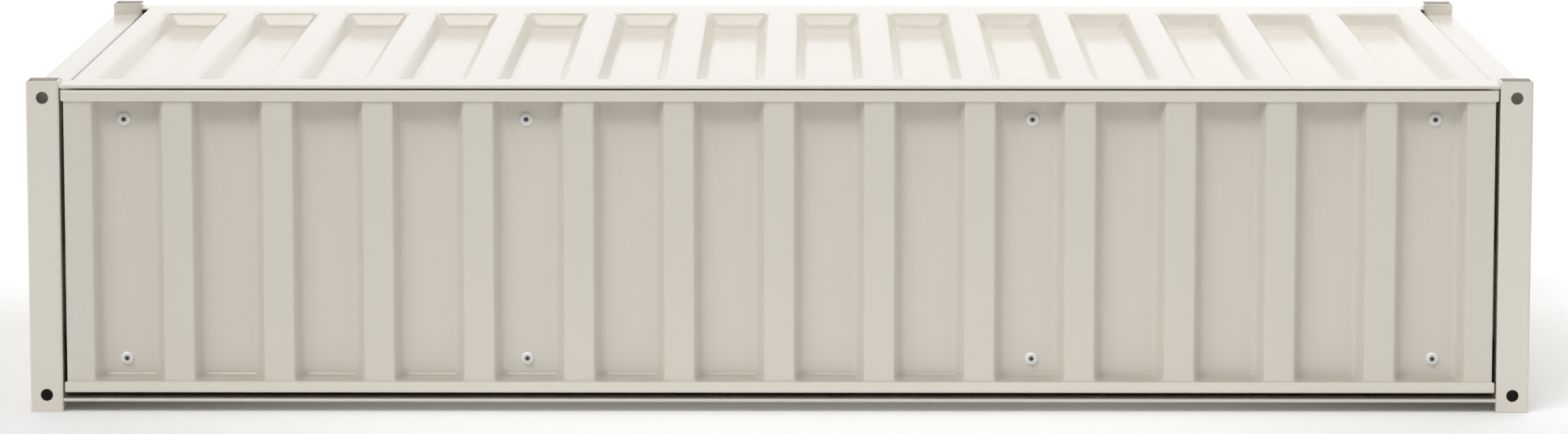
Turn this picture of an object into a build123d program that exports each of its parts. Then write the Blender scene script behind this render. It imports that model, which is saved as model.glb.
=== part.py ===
from build123d import *
import math
import os

# Low storage container of folded sheet steel with one wide drawer.
# Millimetres, +Z up, the front faces -Y, the feet stand on Z = 0.

# Overall size
LENGTH = 1212.0
DEPTH = 648.0
HEIGHT = 269.0

# Corner posts: open square tubes with a round hole near each end
POST = 26.5
POST_WALL = 1.5
POST_CORNER_R = 2.0
POST_HOLE_D = 10.0
POST_HOLE_END = 13.5
POST_RISE = 3.2

# Sheet, bends and folded edges
SHEET = 1.5
ROOF_HEM = 2.8
FLOOR_HEM = 2.6
HEM_WIDTH = 12.0
NOSE_SHARE = 0.4
STRIP_HEIGHT = 9.0
OVERRUN = 2.0

# Pressed pockets
FRONT_POCKET_COUNT = 14
END_POCKET_COUNT = 7
RIB = 24.0
EDGE_RIB = 22.6
WALL_RUN = 6.2
END_RUN = 4.2
SIDE_POCKET_DEPTH = 13.0
ROOF_POCKET_DEPTH = 15.0
MOUTH_R = 3.5
POCKET_FLOOR_R = 5.0
RIB_END = 0.6
CORNER_STEP_COUNT = 2
BEND_SHARE = 0.25
BEND_DROP = 1.0

# Roof and end rails
ROOF_SIDE_GAP = 5.0
ROOF_FLANGE = 18.0
ROOF_FRONT_MARGIN = 47.0
ROOF_BACK_MARGIN = 73.0
ROOF_TAB = 38.0
ROOF_BACK_INSET = 10.0
RAIL_DROP = 9.5
RAIL_WIDTH = 25.0
RAIL_FACE = 10.5
RAIL_LEG = 20.0
BACK_RAIL_DEPTH = 16.0

# Floor and bottom rails
FLOOR_TOP = 10.5
RAIL_FOOT = 3.0
BOTTOM_RAIL_TOP = 24.5

# Drawer front and its running gaps
FRONT_TOP_GAP = 1.3
FRONT_FLOOR_GAP = 4.9
FRONT_STRIP_GAP = 1.5
FRONT_BODY_GAP = 3.3
SCREW_HOLE_D = 5.5
SCREW_TOP_EDGE = 15.8
SCREW_LOW_EDGE = 17.4
SCREW_OUTER_SHARE = 6.543
SCREW_INNER_SHARE = 2.526

# Drawer box
BOX_BOTTOM = 20.0
BOX_TOP = 240.0
BOX_BACK_SPACE = 54.0

# Telescopic runners
RUNNER_SPACE = 12.7
RUNNER_Z = 92.0
RUNNER_HEIGHT = 46.0
RUNNER_SHEET = 1.5
RUNNER_PLAY = 0.6
RUNNER_FLANGE = 8.0
RUNNER_SETBACK = 4.5
RUNNER_STEP = 6.0
CARRIER_HEIGHT = 70.0
CARRIER_TAB = 20.0

# Places worked out from the sizes above
X_OUT = LENGTH / 2
Y_FRONT = -DEPTH / 2
Y_BACK = DEPTH / 2
X_POST = X_OUT - POST
Y_POST = Y_BACK - POST
ROOF_TOP = HEIGHT - POST_RISE
ROOF_UNDER = ROOF_TOP - SHEET
FRONT_TOP = ROOF_TOP - ROOF_HEM - FRONT_TOP_GAP
FRONT_BOTTOM = FLOOR_TOP + FRONT_FLOOR_GAP
STRIP_HALF = X_POST - FRONT_STRIP_GAP
BODY_HALF = X_POST - FRONT_BODY_GAP
Y_FACE = Y_FRONT + SHEET
Y_PLATE = Y_FACE + SIDE_POCKET_DEPTH + SHEET
LONG_PITCH = (2 * BODY_HALF - 2 * EDGE_RIB + RIB) / FRONT_POCKET_COUNT
LONG_MOUTH = LONG_PITCH - RIB
END_PITCH = (2 * Y_POST - 2 * EDGE_RIB + RIB) / END_POCKET_COUNT
END_MOUTH = END_PITCH - RIB
RAIL_TOP = HEIGHT - RAIL_DROP
FRONT_MID = (FRONT_TOP + FRONT_BOTTOM) / 2
FRONT_HALF = (FRONT_TOP - FRONT_BOTTOM) / 2
X_CARRIER = X_POST - SHEET
X_BOX = X_CARRIER - RUNNER_SPACE
Y_BOX_BACK = Y_POST + POST - BOX_BACK_SPACE
Y_BOX_FRONT = Y_PLATE + SHEET
RUNNER_HALF = RUNNER_HEIGHT / 2
MID_HALF = RUNNER_HALF - RUNNER_SHEET - RUNNER_PLAY
SLIDE_HALF = MID_HALF - RUNNER_SHEET - RUNNER_PLAY

os.makedirs("parts", exist_ok=True)


def block(x0, x1, y0, y1, z0, z1):
    """A box between two corners, given in any order."""
    size = (abs(x1 - x0), abs(y1 - y0), abs(z1 - z0))
    return Pos((x0 + x1) / 2, (y0 + y1) / 2, (z0 + z1) / 2) * Box(*size)


def fuse(pieces):
    """Join pieces into one solid."""
    whole = pieces[0]
    for piece in pieces[1:]:
        whole = whole + piece
    return whole


def outline(width, height, radius, level):
    """Points round a rectangle whose corners are turned in a few even steps."""
    points = []
    for turn, (sx, sy) in enumerate(((1, 1), (-1, 1), (-1, -1), (1, -1))):
        for step in range(CORNER_STEP_COUNT + 1):
            angle = math.radians(90 * (turn + step / CORNER_STEP_COUNT))
            x = sx * (width / 2 - radius) + radius * math.cos(angle)
            y = sy * (height / 2 - radius) + radius * math.sin(angle)
            points.append(Vector(x, y, level))
    return points


def frustum(rings):
    """A flat-faced solid through outlines that have their edges parallel."""
    faces = [Face(Wire.make_polygon(rings[0], close=True)), Face(Wire.make_polygon(rings[-1], close=True))]
    for upper, lower in zip(rings, rings[1:]):
        for i in range(len(upper)):
            j = (i + 1) % len(upper)
            corners = [upper[i], upper[j], lower[j], lower[i]]
            faces.append(Face(Wire.make_polygon(corners, close=True)))
    return Solid(Shell(faces))


def pocket_pair(width, height, depth, soft):
    """One pressed pocket going down from Z = 0: its hollow and its outer skin."""
    bends = [(0, 0), (1, depth)]
    if soft:
        bends[1:1] = [(BEND_SHARE, BEND_DROP), (1 - BEND_SHARE, depth - BEND_DROP)]
    rings = []
    for share, drop in bends:
        radius = MOUTH_R + (POCKET_FLOOR_R - MOUTH_R) * share
        rings.append(outline(width - 2 * WALL_RUN * share, height - 2 * END_RUN * share, radius, -drop))
    hollow = frustum(rings)
    slope_w = math.atan2(WALL_RUN, depth)
    slope_e = math.atan2(END_RUN, depth)
    grow_w = 2 * SHEET / math.cos(slope_w)
    grow_e = 2 * SHEET / math.cos(slope_e)
    low = depth + SHEET
    low_w = width + grow_w - 2 * low * math.tan(slope_w)
    low_e = height + grow_e - 2 * low * math.tan(slope_e)
    top = outline(width + grow_w, height + grow_e, MOUTH_R + SHEET, 0)
    base = outline(low_w, low_e, POCKET_FLOOR_R + SHEET, -low)
    skin = frustum([top, base])
    return hollow, skin


def press(sheet, count, pitch, width, height, depth, middle, soft=False):
    """Press a row of pockets along X into a flat sheet with its face at Z = 0; soft ones have eased bends."""
    hollow, skin = pocket_pair(width, height, depth, soft)
    places = [Pos((i - (count - 1) / 2) * pitch, middle, 0) for i in range(count)]
    grown = sheet + [place * skin for place in places]
    return grown - [place * hollow for place in places]


# Corner posts
def make_post(sx, sy):
    outer = RectangleRounded(POST, POST, POST_CORNER_R)
    inner = RectangleRounded(POST - 2 * POST_WALL, POST - 2 * POST_WALL, POST_CORNER_R - POST_WALL / 2)
    tube = extrude(outer - inner, amount=HEIGHT)
    drill = Cylinder(POST_HOLE_D / 2, POST / 2 + OVERRUN, align=(Align.CENTER, Align.CENTER, Align.MIN))
    for level in (POST_HOLE_END, HEIGHT - POST_HOLE_END):
        tube = tube - Pos(0, 0, level) * Rot(-90 * sy, 0, 0) * drill
        tube = tube - Pos(0, 0, level) * Rot(0, 90 * sx, 0) * drill
    return Pos(sx * (X_OUT - POST / 2), sy * (Y_BACK - POST / 2), 0) * tube


# Roof: one pressed sheet with side flanges and a hemmed front edge
def make_roof():
    half = X_POST - ROOF_SIDE_GAP
    back = Y_BACK - ROOF_BACK_INSET
    plates = [
        block(-half, half, Y_FRONT, back, -SHEET, 0),
        block(-X_POST, X_POST, Y_FRONT, Y_FRONT + ROOF_TAB, -SHEET, 0),
        block(-X_POST, X_POST, Y_POST - (ROOF_TAB - POST), back, -SHEET, 0),
        block(-X_POST, X_POST, Y_FRONT, Y_FRONT + HEM_WIDTH, -ROOF_HEM, -SHEET),
    ]
    for side in (-1, 1):
        plates.append(
            block(
                side * half,
                side * (half - SHEET),
                Y_FRONT + ROOF_TAB,
                Y_POST - (ROOF_TAB - POST),
                -ROOF_FLANGE,
                -SHEET,
            )
        )
    sheet = fuse(plates)
    nose = sheet.edges().filter_by(Axis.X).group_by(Axis.Y)[0]
    sheet = fillet(nose, ROOF_HEM * NOSE_SHARE)
    front = Y_FRONT + ROOF_FRONT_MARGIN
    rear = Y_BACK - ROOF_BACK_MARGIN
    middle = (front + rear) / 2
    reach = rear - front
    roof = press(sheet, FRONT_POCKET_COUNT, LONG_PITCH, LONG_MOUTH, reach, ROOF_POCKET_DEPTH, middle, True)
    return Pos(0, 0, ROOF_TOP) * roof


# Floor: a flat sheet with a hemmed front edge
def make_floor():
    sheet = block(-X_POST, X_POST, Y_FRONT, Y_BACK - BACK_RAIL_DEPTH, FLOOR_TOP - SHEET, FLOOR_TOP)
    hem = block(-X_POST, X_POST, Y_FRONT, Y_FRONT + HEM_WIDTH, FLOOR_TOP - FLOOR_HEM, FLOOR_TOP - SHEET)
    floor = sheet + hem
    nose = floor.edges().filter_by(Axis.X).group_by(Axis.Y)[0]
    return fillet(nose, FLOOR_HEM * NOSE_SHARE)


# End walls with their top and bottom rails
def make_end_wall(side):
    low = BOTTOM_RAIL_TOP - STRIP_HEIGHT
    high = RAIL_TOP - SHEET
    sheet = block(-Y_POST, Y_POST, low, high, -SHEET, 0)
    mouth_low = BOTTOM_RAIL_TOP + RIB_END
    mouth_high = RAIL_TOP - RAIL_FACE - RIB_END
    middle = (mouth_low + mouth_high) / 2
    mouth = mouth_high - mouth_low
    wall = press(sheet, END_POCKET_COUNT, END_PITCH, END_MOUTH, mouth, SIDE_POCKET_DEPTH, middle)
    return Pos(side * (X_OUT - SHEET), 0, 0) * Rot(0, 0, 90 * side) * Rot(90, 0, 0) * wall


def make_end_top_rail(side):
    inner = X_OUT - RAIL_WIDTH
    top = block(side * inner, side * X_OUT, -Y_POST, Y_POST, RAIL_TOP - SHEET, RAIL_TOP)
    face = block(side * (X_OUT - SHEET), side * X_OUT, -Y_POST, Y_POST, RAIL_TOP - RAIL_FACE, RAIL_TOP)
    leg = block(side * inner, side * (inner + SHEET), -Y_POST, Y_POST, RAIL_TOP - RAIL_LEG, RAIL_TOP)
    return fuse([top, face, leg])


def make_end_bottom_rail(side):
    web = block(side * X_POST, side * X_OUT, -Y_POST, Y_POST, FLOOR_TOP - SHEET, FLOOR_TOP)
    face = block(side * (X_OUT - SHEET), side * X_OUT, -Y_POST, Y_POST, RAIL_FOOT, BOTTOM_RAIL_TOP)
    return web + face


# Back wall with its top and bottom rails
def make_back_wall():
    low = BOTTOM_RAIL_TOP - STRIP_HEIGHT
    high = ROOF_UNDER - SHEET
    sheet = block(-X_POST, X_POST, low, high, -SHEET, 0)
    mouth_low = BOTTOM_RAIL_TOP + RIB_END
    mouth_high = ROOF_UNDER - RAIL_FACE - RIB_END
    middle = (mouth_low + mouth_high) / 2
    mouth = mouth_high - mouth_low
    wall = press(sheet, FRONT_POCKET_COUNT, LONG_PITCH, LONG_MOUTH, mouth, SIDE_POCKET_DEPTH, middle)
    return Pos(0, Y_BACK - SHEET, 0) * Rot(0, 0, 180) * Rot(90, 0, 0) * wall


def make_back_top_rail():
    top = block(-X_POST, X_POST, Y_BACK - BACK_RAIL_DEPTH, Y_BACK, ROOF_UNDER - SHEET, ROOF_UNDER)
    face = block(-X_POST, X_POST, Y_BACK - SHEET, Y_BACK, ROOF_UNDER - RAIL_FACE, ROOF_UNDER)
    return top + face


def make_back_bottom_rail():
    web = block(-X_POST, X_POST, Y_BACK - BACK_RAIL_DEPTH, Y_BACK, FLOOR_TOP - SHEET, FLOOR_TOP)
    face = block(-X_POST, X_POST, Y_BACK - SHEET, Y_BACK, RAIL_FOOT, BOTTOM_RAIL_TOP)
    return web + face


# Drawer front: pressed sheet with folded sides, edge strips and a backing plate
def screw_drills(y0, y1):
    drills = []
    for share in (-SCREW_OUTER_SHARE, -SCREW_INNER_SHARE, SCREW_INNER_SHARE, SCREW_OUTER_SHARE):
        for up, edge in ((-1, SCREW_LOW_EDGE), (1, SCREW_TOP_EDGE)):
            level = FRONT_MID + up * (FRONT_HALF - STRIP_HEIGHT - edge)
            place = Pos(share * LONG_PITCH, (y0 + y1) / 2, level)
            drills.append(place * Rot(90, 0, 0) * Cylinder(SCREW_HOLE_D / 2, abs(y1 - y0)))
    return drills


def make_front_panel():
    low = FRONT_BOTTOM + SHEET
    high = FRONT_TOP - SHEET
    sheet = block(-BODY_HALF, BODY_HALF, low, high, -SHEET, 0)
    fold = Y_PLATE - Y_FACE
    for side in (-1, 1):
        sheet = sheet + block(side * BODY_HALF, side * (BODY_HALF - SHEET), low, high, -fold, 0)
    mouth = FRONT_TOP - FRONT_BOTTOM - 2 * STRIP_HEIGHT - 2 * RIB_END
    depth = SIDE_POCKET_DEPTH
    panel = press(sheet, FRONT_POCKET_COUNT, LONG_PITCH, LONG_MOUTH, mouth, depth, FRONT_MID, True)
    panel = Pos(0, Y_FACE, 0) * Rot(90, 0, 0) * panel
    return panel - screw_drills(Y_FACE, Y_PLATE + OVERRUN)


def make_front_strip(edge, inward):
    tip = edge + inward * STRIP_HEIGHT
    face = block(-STRIP_HALF, STRIP_HALF, Y_FRONT, Y_FACE, edge, tip)
    leg = block(-BODY_HALF, BODY_HALF, Y_FRONT, Y_PLATE, edge, edge + inward * SHEET)
    return face + leg


def make_front_plate():
    plate = block(-BODY_HALF, BODY_HALF, Y_PLATE, Y_BOX_FRONT, FRONT_BOTTOM, FRONT_TOP)
    return plate - screw_drills(Y_PLATE - OVERRUN, Y_BOX_FRONT + OVERRUN)


# Drawer box
def make_box_side(side):
    return block(side * X_BOX, side * (X_BOX - SHEET), Y_BOX_FRONT, Y_BOX_BACK, BOX_BOTTOM, BOX_TOP)


def make_box_back():
    inner = X_BOX - SHEET
    return block(-inner, inner, Y_BOX_BACK - SHEET, Y_BOX_BACK, BOX_BOTTOM, BOX_TOP)


def make_box_bottom():
    inner = X_BOX - SHEET
    return block(-inner, inner, Y_BOX_FRONT, Y_BOX_BACK - SHEET, BOX_BOTTOM, BOX_BOTTOM + SHEET)


# Runners: each member is a channel lying inside the one before
def channel(side, web_out, web_in, flange_tip, half, y0, y1):
    """A C channel along Y with its web between two X places and its flanges reaching flange_tip."""
    web = block(side * web_out, side * web_in, y0, y1, RUNNER_Z - half, RUNNER_Z + half)
    low, high = RUNNER_Z - half, RUNNER_Z + half
    lower = block(side * web_out, side * flange_tip, y0, y1, low, low + RUNNER_SHEET)
    upper = block(side * web_out, side * flange_tip, y0, y1, high - RUNNER_SHEET, high)
    return fuse([web, lower, upper])


Y_RUNNER = Y_BOX_FRONT + RUNNER_SETBACK


def make_carrier(side):
    low, high = RUNNER_Z - CARRIER_HEIGHT / 2, RUNNER_Z + CARRIER_HEIGHT / 2
    web = block(side * X_CARRIER, side * X_POST, -Y_POST, Y_POST, low, high)
    tip = X_POST + CARRIER_TAB
    tabs = [
        block(side * X_CARRIER, side * tip, end * Y_POST, end * (Y_POST - SHEET), low, high)
        for end in (-1, 1)
    ]
    return fuse([web] + tabs)


def make_runner_rail(side):
    tip = X_CARRIER - RUNNER_FLANGE
    y1 = Y_POST - RUNNER_STEP
    return channel(side, X_CARRIER, X_CARRIER - RUNNER_SHEET, tip, RUNNER_HALF, Y_RUNNER, y1)


def make_runner_mid(side):
    web_out = X_CARRIER - RUNNER_SHEET - RUNNER_PLAY
    tip = X_BOX + RUNNER_SHEET + RUNNER_PLAY
    y1 = Y_BOX_BACK + RUNNER_STEP
    return channel(side, web_out, web_out - RUNNER_SHEET, tip, MID_HALF, Y_RUNNER, y1)


def make_runner_slide(side):
    tip = X_CARRIER - 2 * RUNNER_SHEET - 2 * RUNNER_PLAY
    return channel(side, X_BOX, X_BOX + RUNNER_SHEET, tip, SLIDE_HALF, Y_RUNNER, Y_BOX_BACK)


nodes = {
    "post_front_left": make_post(-1, -1),
    "post_front_right": make_post(1, -1),
    "post_back_left": make_post(-1, 1),
    "post_back_right": make_post(1, 1),
    "roof_panel": make_roof(),
    "floor_panel": make_floor(),
    "end_wall_left": make_end_wall(-1),
    "end_wall_right": make_end_wall(1),
    "end_top_rail_left": make_end_top_rail(-1),
    "end_top_rail_right": make_end_top_rail(1),
    "end_bottom_rail_left": make_end_bottom_rail(-1),
    "end_bottom_rail_right": make_end_bottom_rail(1),
    "back_wall": make_back_wall(),
    "back_top_rail": make_back_top_rail(),
    "back_bottom_rail": make_back_bottom_rail(),
    "runner_carrier_left": make_carrier(-1),
    "runner_carrier_right": make_carrier(1),
    "runner_rail_left": make_runner_rail(-1),
    "runner_rail_right": make_runner_rail(1),
    "runner_mid_left": make_runner_mid(-1),
    "runner_mid_right": make_runner_mid(1),
    "runner_slide_left": make_runner_slide(-1),
    "runner_slide_right": make_runner_slide(1),
    "front_panel": make_front_panel(),
    "front_top_strip": make_front_strip(FRONT_TOP, -1),
    "front_bottom_strip": make_front_strip(FRONT_BOTTOM, 1),
    "front_plate": make_front_plate(),
    "box_side_left": make_box_side(-1),
    "box_side_right": make_box_side(1),
    "box_back": make_box_back(),
    "box_bottom": make_box_bottom(),
}

for name, shape in nodes.items():
    export_step(shape, f"parts/{name}.step")
    box = shape.bounding_box()
    print(name, len(shape.solids()), "solid(s)", [round(v, 1) for v in (*box.min, *box.max)])
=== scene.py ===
# %% [markdown]
# A furniture-size shipping container of pressed sheet steel, with one wide drawer.
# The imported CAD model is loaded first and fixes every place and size. Each visible
# sheet is then modelled again with soft bends, because a folded steel sheet shows
# itself by the thin highlights along its bends.

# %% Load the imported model
import math

import bmesh
import bpy
from mathutils import Matrix, Vector


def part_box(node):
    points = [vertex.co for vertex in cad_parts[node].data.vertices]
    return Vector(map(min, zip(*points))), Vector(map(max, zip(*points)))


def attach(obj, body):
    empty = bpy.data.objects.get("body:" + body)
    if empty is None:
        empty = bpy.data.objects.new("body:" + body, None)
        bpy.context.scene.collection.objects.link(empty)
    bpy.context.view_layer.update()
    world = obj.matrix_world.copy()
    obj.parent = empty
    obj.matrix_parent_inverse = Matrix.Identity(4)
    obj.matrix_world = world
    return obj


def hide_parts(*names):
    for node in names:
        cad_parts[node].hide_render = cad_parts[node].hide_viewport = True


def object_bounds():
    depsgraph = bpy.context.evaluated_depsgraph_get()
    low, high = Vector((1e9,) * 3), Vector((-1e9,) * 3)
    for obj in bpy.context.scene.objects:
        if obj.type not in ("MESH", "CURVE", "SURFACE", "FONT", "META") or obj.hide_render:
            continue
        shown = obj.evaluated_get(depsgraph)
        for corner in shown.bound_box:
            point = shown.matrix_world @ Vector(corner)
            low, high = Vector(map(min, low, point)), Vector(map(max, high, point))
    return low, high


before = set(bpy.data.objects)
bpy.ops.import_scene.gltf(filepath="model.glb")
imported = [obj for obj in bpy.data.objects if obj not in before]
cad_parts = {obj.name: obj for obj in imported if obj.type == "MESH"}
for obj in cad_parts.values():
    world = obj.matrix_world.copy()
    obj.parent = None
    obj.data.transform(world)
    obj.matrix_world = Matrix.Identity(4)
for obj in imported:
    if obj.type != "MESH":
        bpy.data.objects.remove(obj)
cad_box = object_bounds()
MM = 0.001


def box_mm(node):
    """A CAD node's lowest and highest corners in millimetres."""
    low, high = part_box(node)
    return low / MM, high / MM


print("nodes:", len(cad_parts), "size:", [round(v / MM, 1) for v in cad_box[1] - cad_box[0]], "mm")


# %% [markdown]
# Colours are written as the sRGB hex values that a paint chart would give. Blender
# shades in linear light, so one function turns a hex value into linear numbers.
# One more small function adds a shader node, sets it and links its inputs.

# %% Colour and node helpers
def linear(hex_value):
    """An sRGB hex colour as linear red, green, blue and alpha."""
    shares = [int(hex_value[i:i + 2], 16) / 255 for i in (1, 3, 5)]
    return [s / 12.92 if s <= 0.04045 else ((s + 0.055) / 1.055) ** 2.4 for s in shares] + [1.0]


def add(tree, kind, settings=None, **inputs):
    """Add a node. An input is a socket's name, or _ and its number, with a value or a link."""
    node = tree.nodes.new(kind)
    for key, value in (settings or {}).items():
        setattr(node, key, value)
    for key, value in inputs.items():
        socket = node.inputs[int(key[1:]) if key[1:].isdigit() else key.replace("_", " ")]
        if isinstance(value, bpy.types.NodeSocket):
            tree.links.new(value, socket)
        else:
            socket.default_value = value
    return node


COLOUR_MIX = {"data_type": "RGBA"}


def new_material(name):
    """An empty node material: its tree, its shader and its Object coordinates."""
    material = bpy.data.materials.new(name)
    material.use_nodes = True
    tree = material.node_tree
    tree.nodes.clear()
    shader = add(tree, "ShaderNodeBsdfPrincipled")
    add(tree, "ShaderNodeOutputMaterial", Surface=shader.outputs["BSDF"])
    coords = add(tree, "ShaderNodeTexCoord").outputs["Object"]
    return material, tree, shader, coords


print("middle grey in linear light:", round(linear("#808080")[0], 3))


# %% [markdown]
# The outside is powder coat: a polyester powder sprayed on dry and melted in an oven.
# It sets to a satin skin with a faint orange-peel ripple and no brush marks. One flat
# colour would look like plastic, so two noises do the work. A fine one is the ripple: it
# is about 1.5 mm wide in life, finer than a pixel here, so it is drawn at 4 mm. A slow
# one lets tone and gloss drift, which keeps the big sheets from looking printed. Strips
# and tubes get a lighter copy of the same coat, which is painted light. The short end
# walls of a pocket are painted darker, which is painted shade; a pressed sheet carries
# that in a vertex attribute.

# %% Powder coat
RIPPLE_MM = 4.0
RIPPLE_RISE_MM = 0.1
RIPPLE_STRENGTH = 0.06
DRIFT_MM = 180.0
GLOSS_DRIFT = 0.02
COAT_IOR = 1.5
OUTER_LIGHT, OUTER_DARK = "#E4DED3", "#E1DBD0"
TRIM_LIGHT, TRIM_DARK = "#EDE7DC", "#EAE4D9"
INNER_LIGHT, INNER_DARK = "#DED7CA", "#DBD4C7"
POCKET_END_SHADE = "#C6BEB0"
GLOSS = 0.13
INNER_GLOSS = 0.36


def powder_coat(name, light, dark, roughness):
    """Sprayed powder: even in tone, with soft highlights that wander a little."""
    material, tree, shader, coords = new_material(name)
    drift = add(tree, "ShaderNodeTexNoise", Vector=coords, Scale=1 / (DRIFT_MM * MM), Detail=3.0)
    drift = drift.outputs["Fac"]
    tone = add(tree, "ShaderNodeMix", COLOUR_MIX, Factor=drift, _6=linear(dark), _7=linear(light))
    # Painted shade: a pocket's end walls are mixed towards a darker tone.
    pocket_end_shade = add(tree, "ShaderNodeAttribute", {"attribute_name": "pocket_end_shade"}).outputs["Fac"]
    tone = add(tree, "ShaderNodeMix", COLOUR_MIX, Factor=pocket_end_shade,
               _6=tone.outputs[2], _7=linear(POCKET_END_SHADE))
    tree.links.new(tone.outputs[2], shader.inputs["Base Color"])
    dull, bright = roughness + GLOSS_DRIFT, roughness - GLOSS_DRIFT
    gloss = add(tree, "ShaderNodeMapRange", Value=drift, To_Min=bright, To_Max=dull)
    tree.links.new(gloss.outputs["Result"], shader.inputs["Roughness"])
    ripple = add(tree, "ShaderNodeTexNoise", Vector=coords, Scale=1 / (RIPPLE_MM * MM), Detail=1.0)
    bump = add(tree, "ShaderNodeBump", Height=ripple.outputs["Fac"],
               Strength=RIPPLE_STRENGTH, Distance=RIPPLE_RISE_MM * MM)
    tree.links.new(bump.outputs["Normal"], shader.inputs["Normal"])
    shader.inputs["IOR"].default_value = COAT_IOR
    return material


# The outer coats are smooth enough to mirror the studio softly; the inner one is duller.
outer_coat = powder_coat("powder coat satin warm white", OUTER_LIGHT, OUTER_DARK, GLOSS)
# Painted light: the trim coat is the outer coat made a little lighter.
trim_coat_painted_light = powder_coat("powder coat satin painted lighter on strips", TRIM_LIGHT, TRIM_DARK, GLOSS)
inner_coat = powder_coat("powder coat satin inside", INNER_LIGHT, INNER_DARK, INNER_GLOSS)
print("made", outer_coat.name, "with", trim_coat_painted_light.name, "and", inner_coat.name)


# %% [markdown]
# The posts' inner walls are painted a darker grey: painted shade inside the tube. Within
# a centimetre of the open top the tone fades back to the outer tone, painted light where
# light gets in. The inner walls could get a material of their own, but the CAD mesh is kept
# as it is, so place decides instead. One material serves all four posts: it folds the length
# and depth axes onto one corner and asks how far a point lies from that post's middle line,
# and how far below its top.

# %% Posts, with painted shade inside
POST_WALL_MM = 1.5
TUBE_INSIDE_SHADE = "#948E84"
LIT_TOP_MM = 12.0
post_low, post_high = box_mm("post_front_right")


def past(tree, split, axis, place_m):
    """How far a point lies past a place on an axis, on either side of the middle."""
    folded = add(tree, "ShaderNodeMath", {"operation": "ABSOLUTE"}, _0=split.outputs[axis]).outputs[0]
    return add(tree, "ShaderNodeMath", {"operation": "SUBTRACT"}, _0=folded, _1=place_m).outputs[0]


def tube_coat_painted_shade(name, low, high):
    """Powder coat on a post, with painted shade on the tube's inner walls."""
    # The outside of a post takes the lighter trim tones: painted light.
    material = powder_coat(name, TRIM_LIGHT, TRIM_DARK, GLOSS)
    tree = material.node_tree
    shader = tree.nodes["Principled BSDF"]
    painted = shader.inputs["Base Color"].links[0].from_socket
    coords = next(n for n in tree.nodes if n.type == "TEX_COORD").outputs["Object"]
    split = add(tree, "ShaderNodeSeparateXYZ", Vector=coords)
    far = []
    for axis, middle in (("X", abs(low.x + high.x) / 2), ("Y", abs(low.y + high.y) / 2)):
        off = past(tree, split, axis, middle * MM)
        far.append(add(tree, "ShaderNodeMath", {"operation": "ABSOLUTE"}, _0=off).outputs[0])
    most = add(tree, "ShaderNodeMath", {"operation": "MAXIMUM"}, _0=far[0], _1=far[1]).outputs[0]
    limit = (high.x - low.x - POST_WALL_MM) / 2 * MM
    outside = add(tree, "ShaderNodeMath", {"operation": "GREATER_THAN"}, _0=most, _1=limit).outputs[0]
    # Painted shade inside, fading to painted light within the top 12 mm, where light gets in.
    lit_near_top = add(tree, "ShaderNodeMapRange", Value=split.outputs["Z"],
                  From_Min=(high.z - LIT_TOP_MM) * MM, From_Max=high.z * MM).outputs[0]
    unshaded = add(tree, "ShaderNodeMath", {"operation": "MAXIMUM"}, _0=outside, _1=lit_near_top).outputs[0]
    tone = add(tree, "ShaderNodeMix", COLOUR_MIX, Factor=unshaded, _6=linear(TUBE_INSIDE_SHADE), _7=painted)
    tree.links.new(tone.outputs[2], shader.inputs["Base Color"])
    return material


post_coat_painted_shade = tube_coat_painted_shade("powder coat with painted shade inside tube", post_low, post_high)
print("post is", round(post_high.x - post_low.x, 2), "mm square")


# %% [markdown]
# Runners and screws are zinc-plated steel. The runners show bare metal, so metallic is 1
# and the colour is their reflection; rolling leaves faint streaks along them, drawn 2 mm
# wide so that they show. The screw heads are painted nearly white, a white coat with a
# little metal in it, as a painted reflection of the bright studio in their domes. An
# attribute named deep marks the flat round a socket, painted a little darker, and the
# socket itself, painted dark: painted shade.

# %% Zinc-plated steel
SOCKET_SHADE = "#55534E"
STREAK_STRETCH = (1.0, 0.03, 1.0)
STREAK_GLOSS = 0.06


def zinc(name, light, dark, roughness, streak_mm, metal):
    """Plated steel: fine streaks that break its reflections along one axis."""
    material, tree, shader, coords = new_material(name)
    along = add(tree, "ShaderNodeMapping", Vector=coords, Scale=STREAK_STRETCH).outputs[0]
    streak = add(tree, "ShaderNodeTexNoise", Vector=along, Scale=1 / (streak_mm * MM), Detail=2.0)
    streak = streak.outputs["Fac"]
    tone = add(tree, "ShaderNodeMix", COLOUR_MIX, Factor=streak, _6=linear(dark), _7=linear(light))
    # Painted shade: where deep is set, a screw's flat and socket are mixed towards a dark tone.
    deep = add(tree, "ShaderNodeAttribute", {"attribute_name": "deep"}).outputs["Fac"]
    tone = add(tree, "ShaderNodeMix", COLOUR_MIX, Factor=deep,
               _6=tone.outputs[2], _7=linear(SOCKET_SHADE))
    tree.links.new(tone.outputs[2], shader.inputs["Base Color"])
    dull, bright = roughness + STREAK_GLOSS, roughness - STREAK_GLOSS
    gloss = add(tree, "ShaderNodeMapRange", Value=streak, To_Min=bright, To_Max=dull)
    tree.links.new(gloss.outputs["Result"], shader.inputs["Roughness"])
    shader.inputs["Metallic"].default_value = metal
    return material


# The runners gleam in long grey bands, and the screws are small white dots.
runner_zinc = zinc("zinc plate on rolled runner", light="#C3C6C8", dark="#A9ADB0",
                   roughness=0.34, streak_mm=2.0, metal=1.0)
# The screws' white is a painted reflection.
screw_zinc_painted_shine = zinc("bright zinc on screws with painted shine and shade", light="#FFFFFF", dark="#FAFAF9",
                  roughness=0.20, streak_mm=1.0, metal=0.10)
print("made", runner_zinc.name, "and", screw_zinc_painted_shine.name)


# %% [markdown]
# Every new piece ends the same way: its sheet gets a thickness, its raw edges a tiny
# rounding, and smooth bends are told from sharp edges. Weighted normals keep the flats
# flat beside their bends. Modifiers do this evenly over a whole sheet, where work by hand
# would miss an edge, and their result is settled into the mesh.

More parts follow.
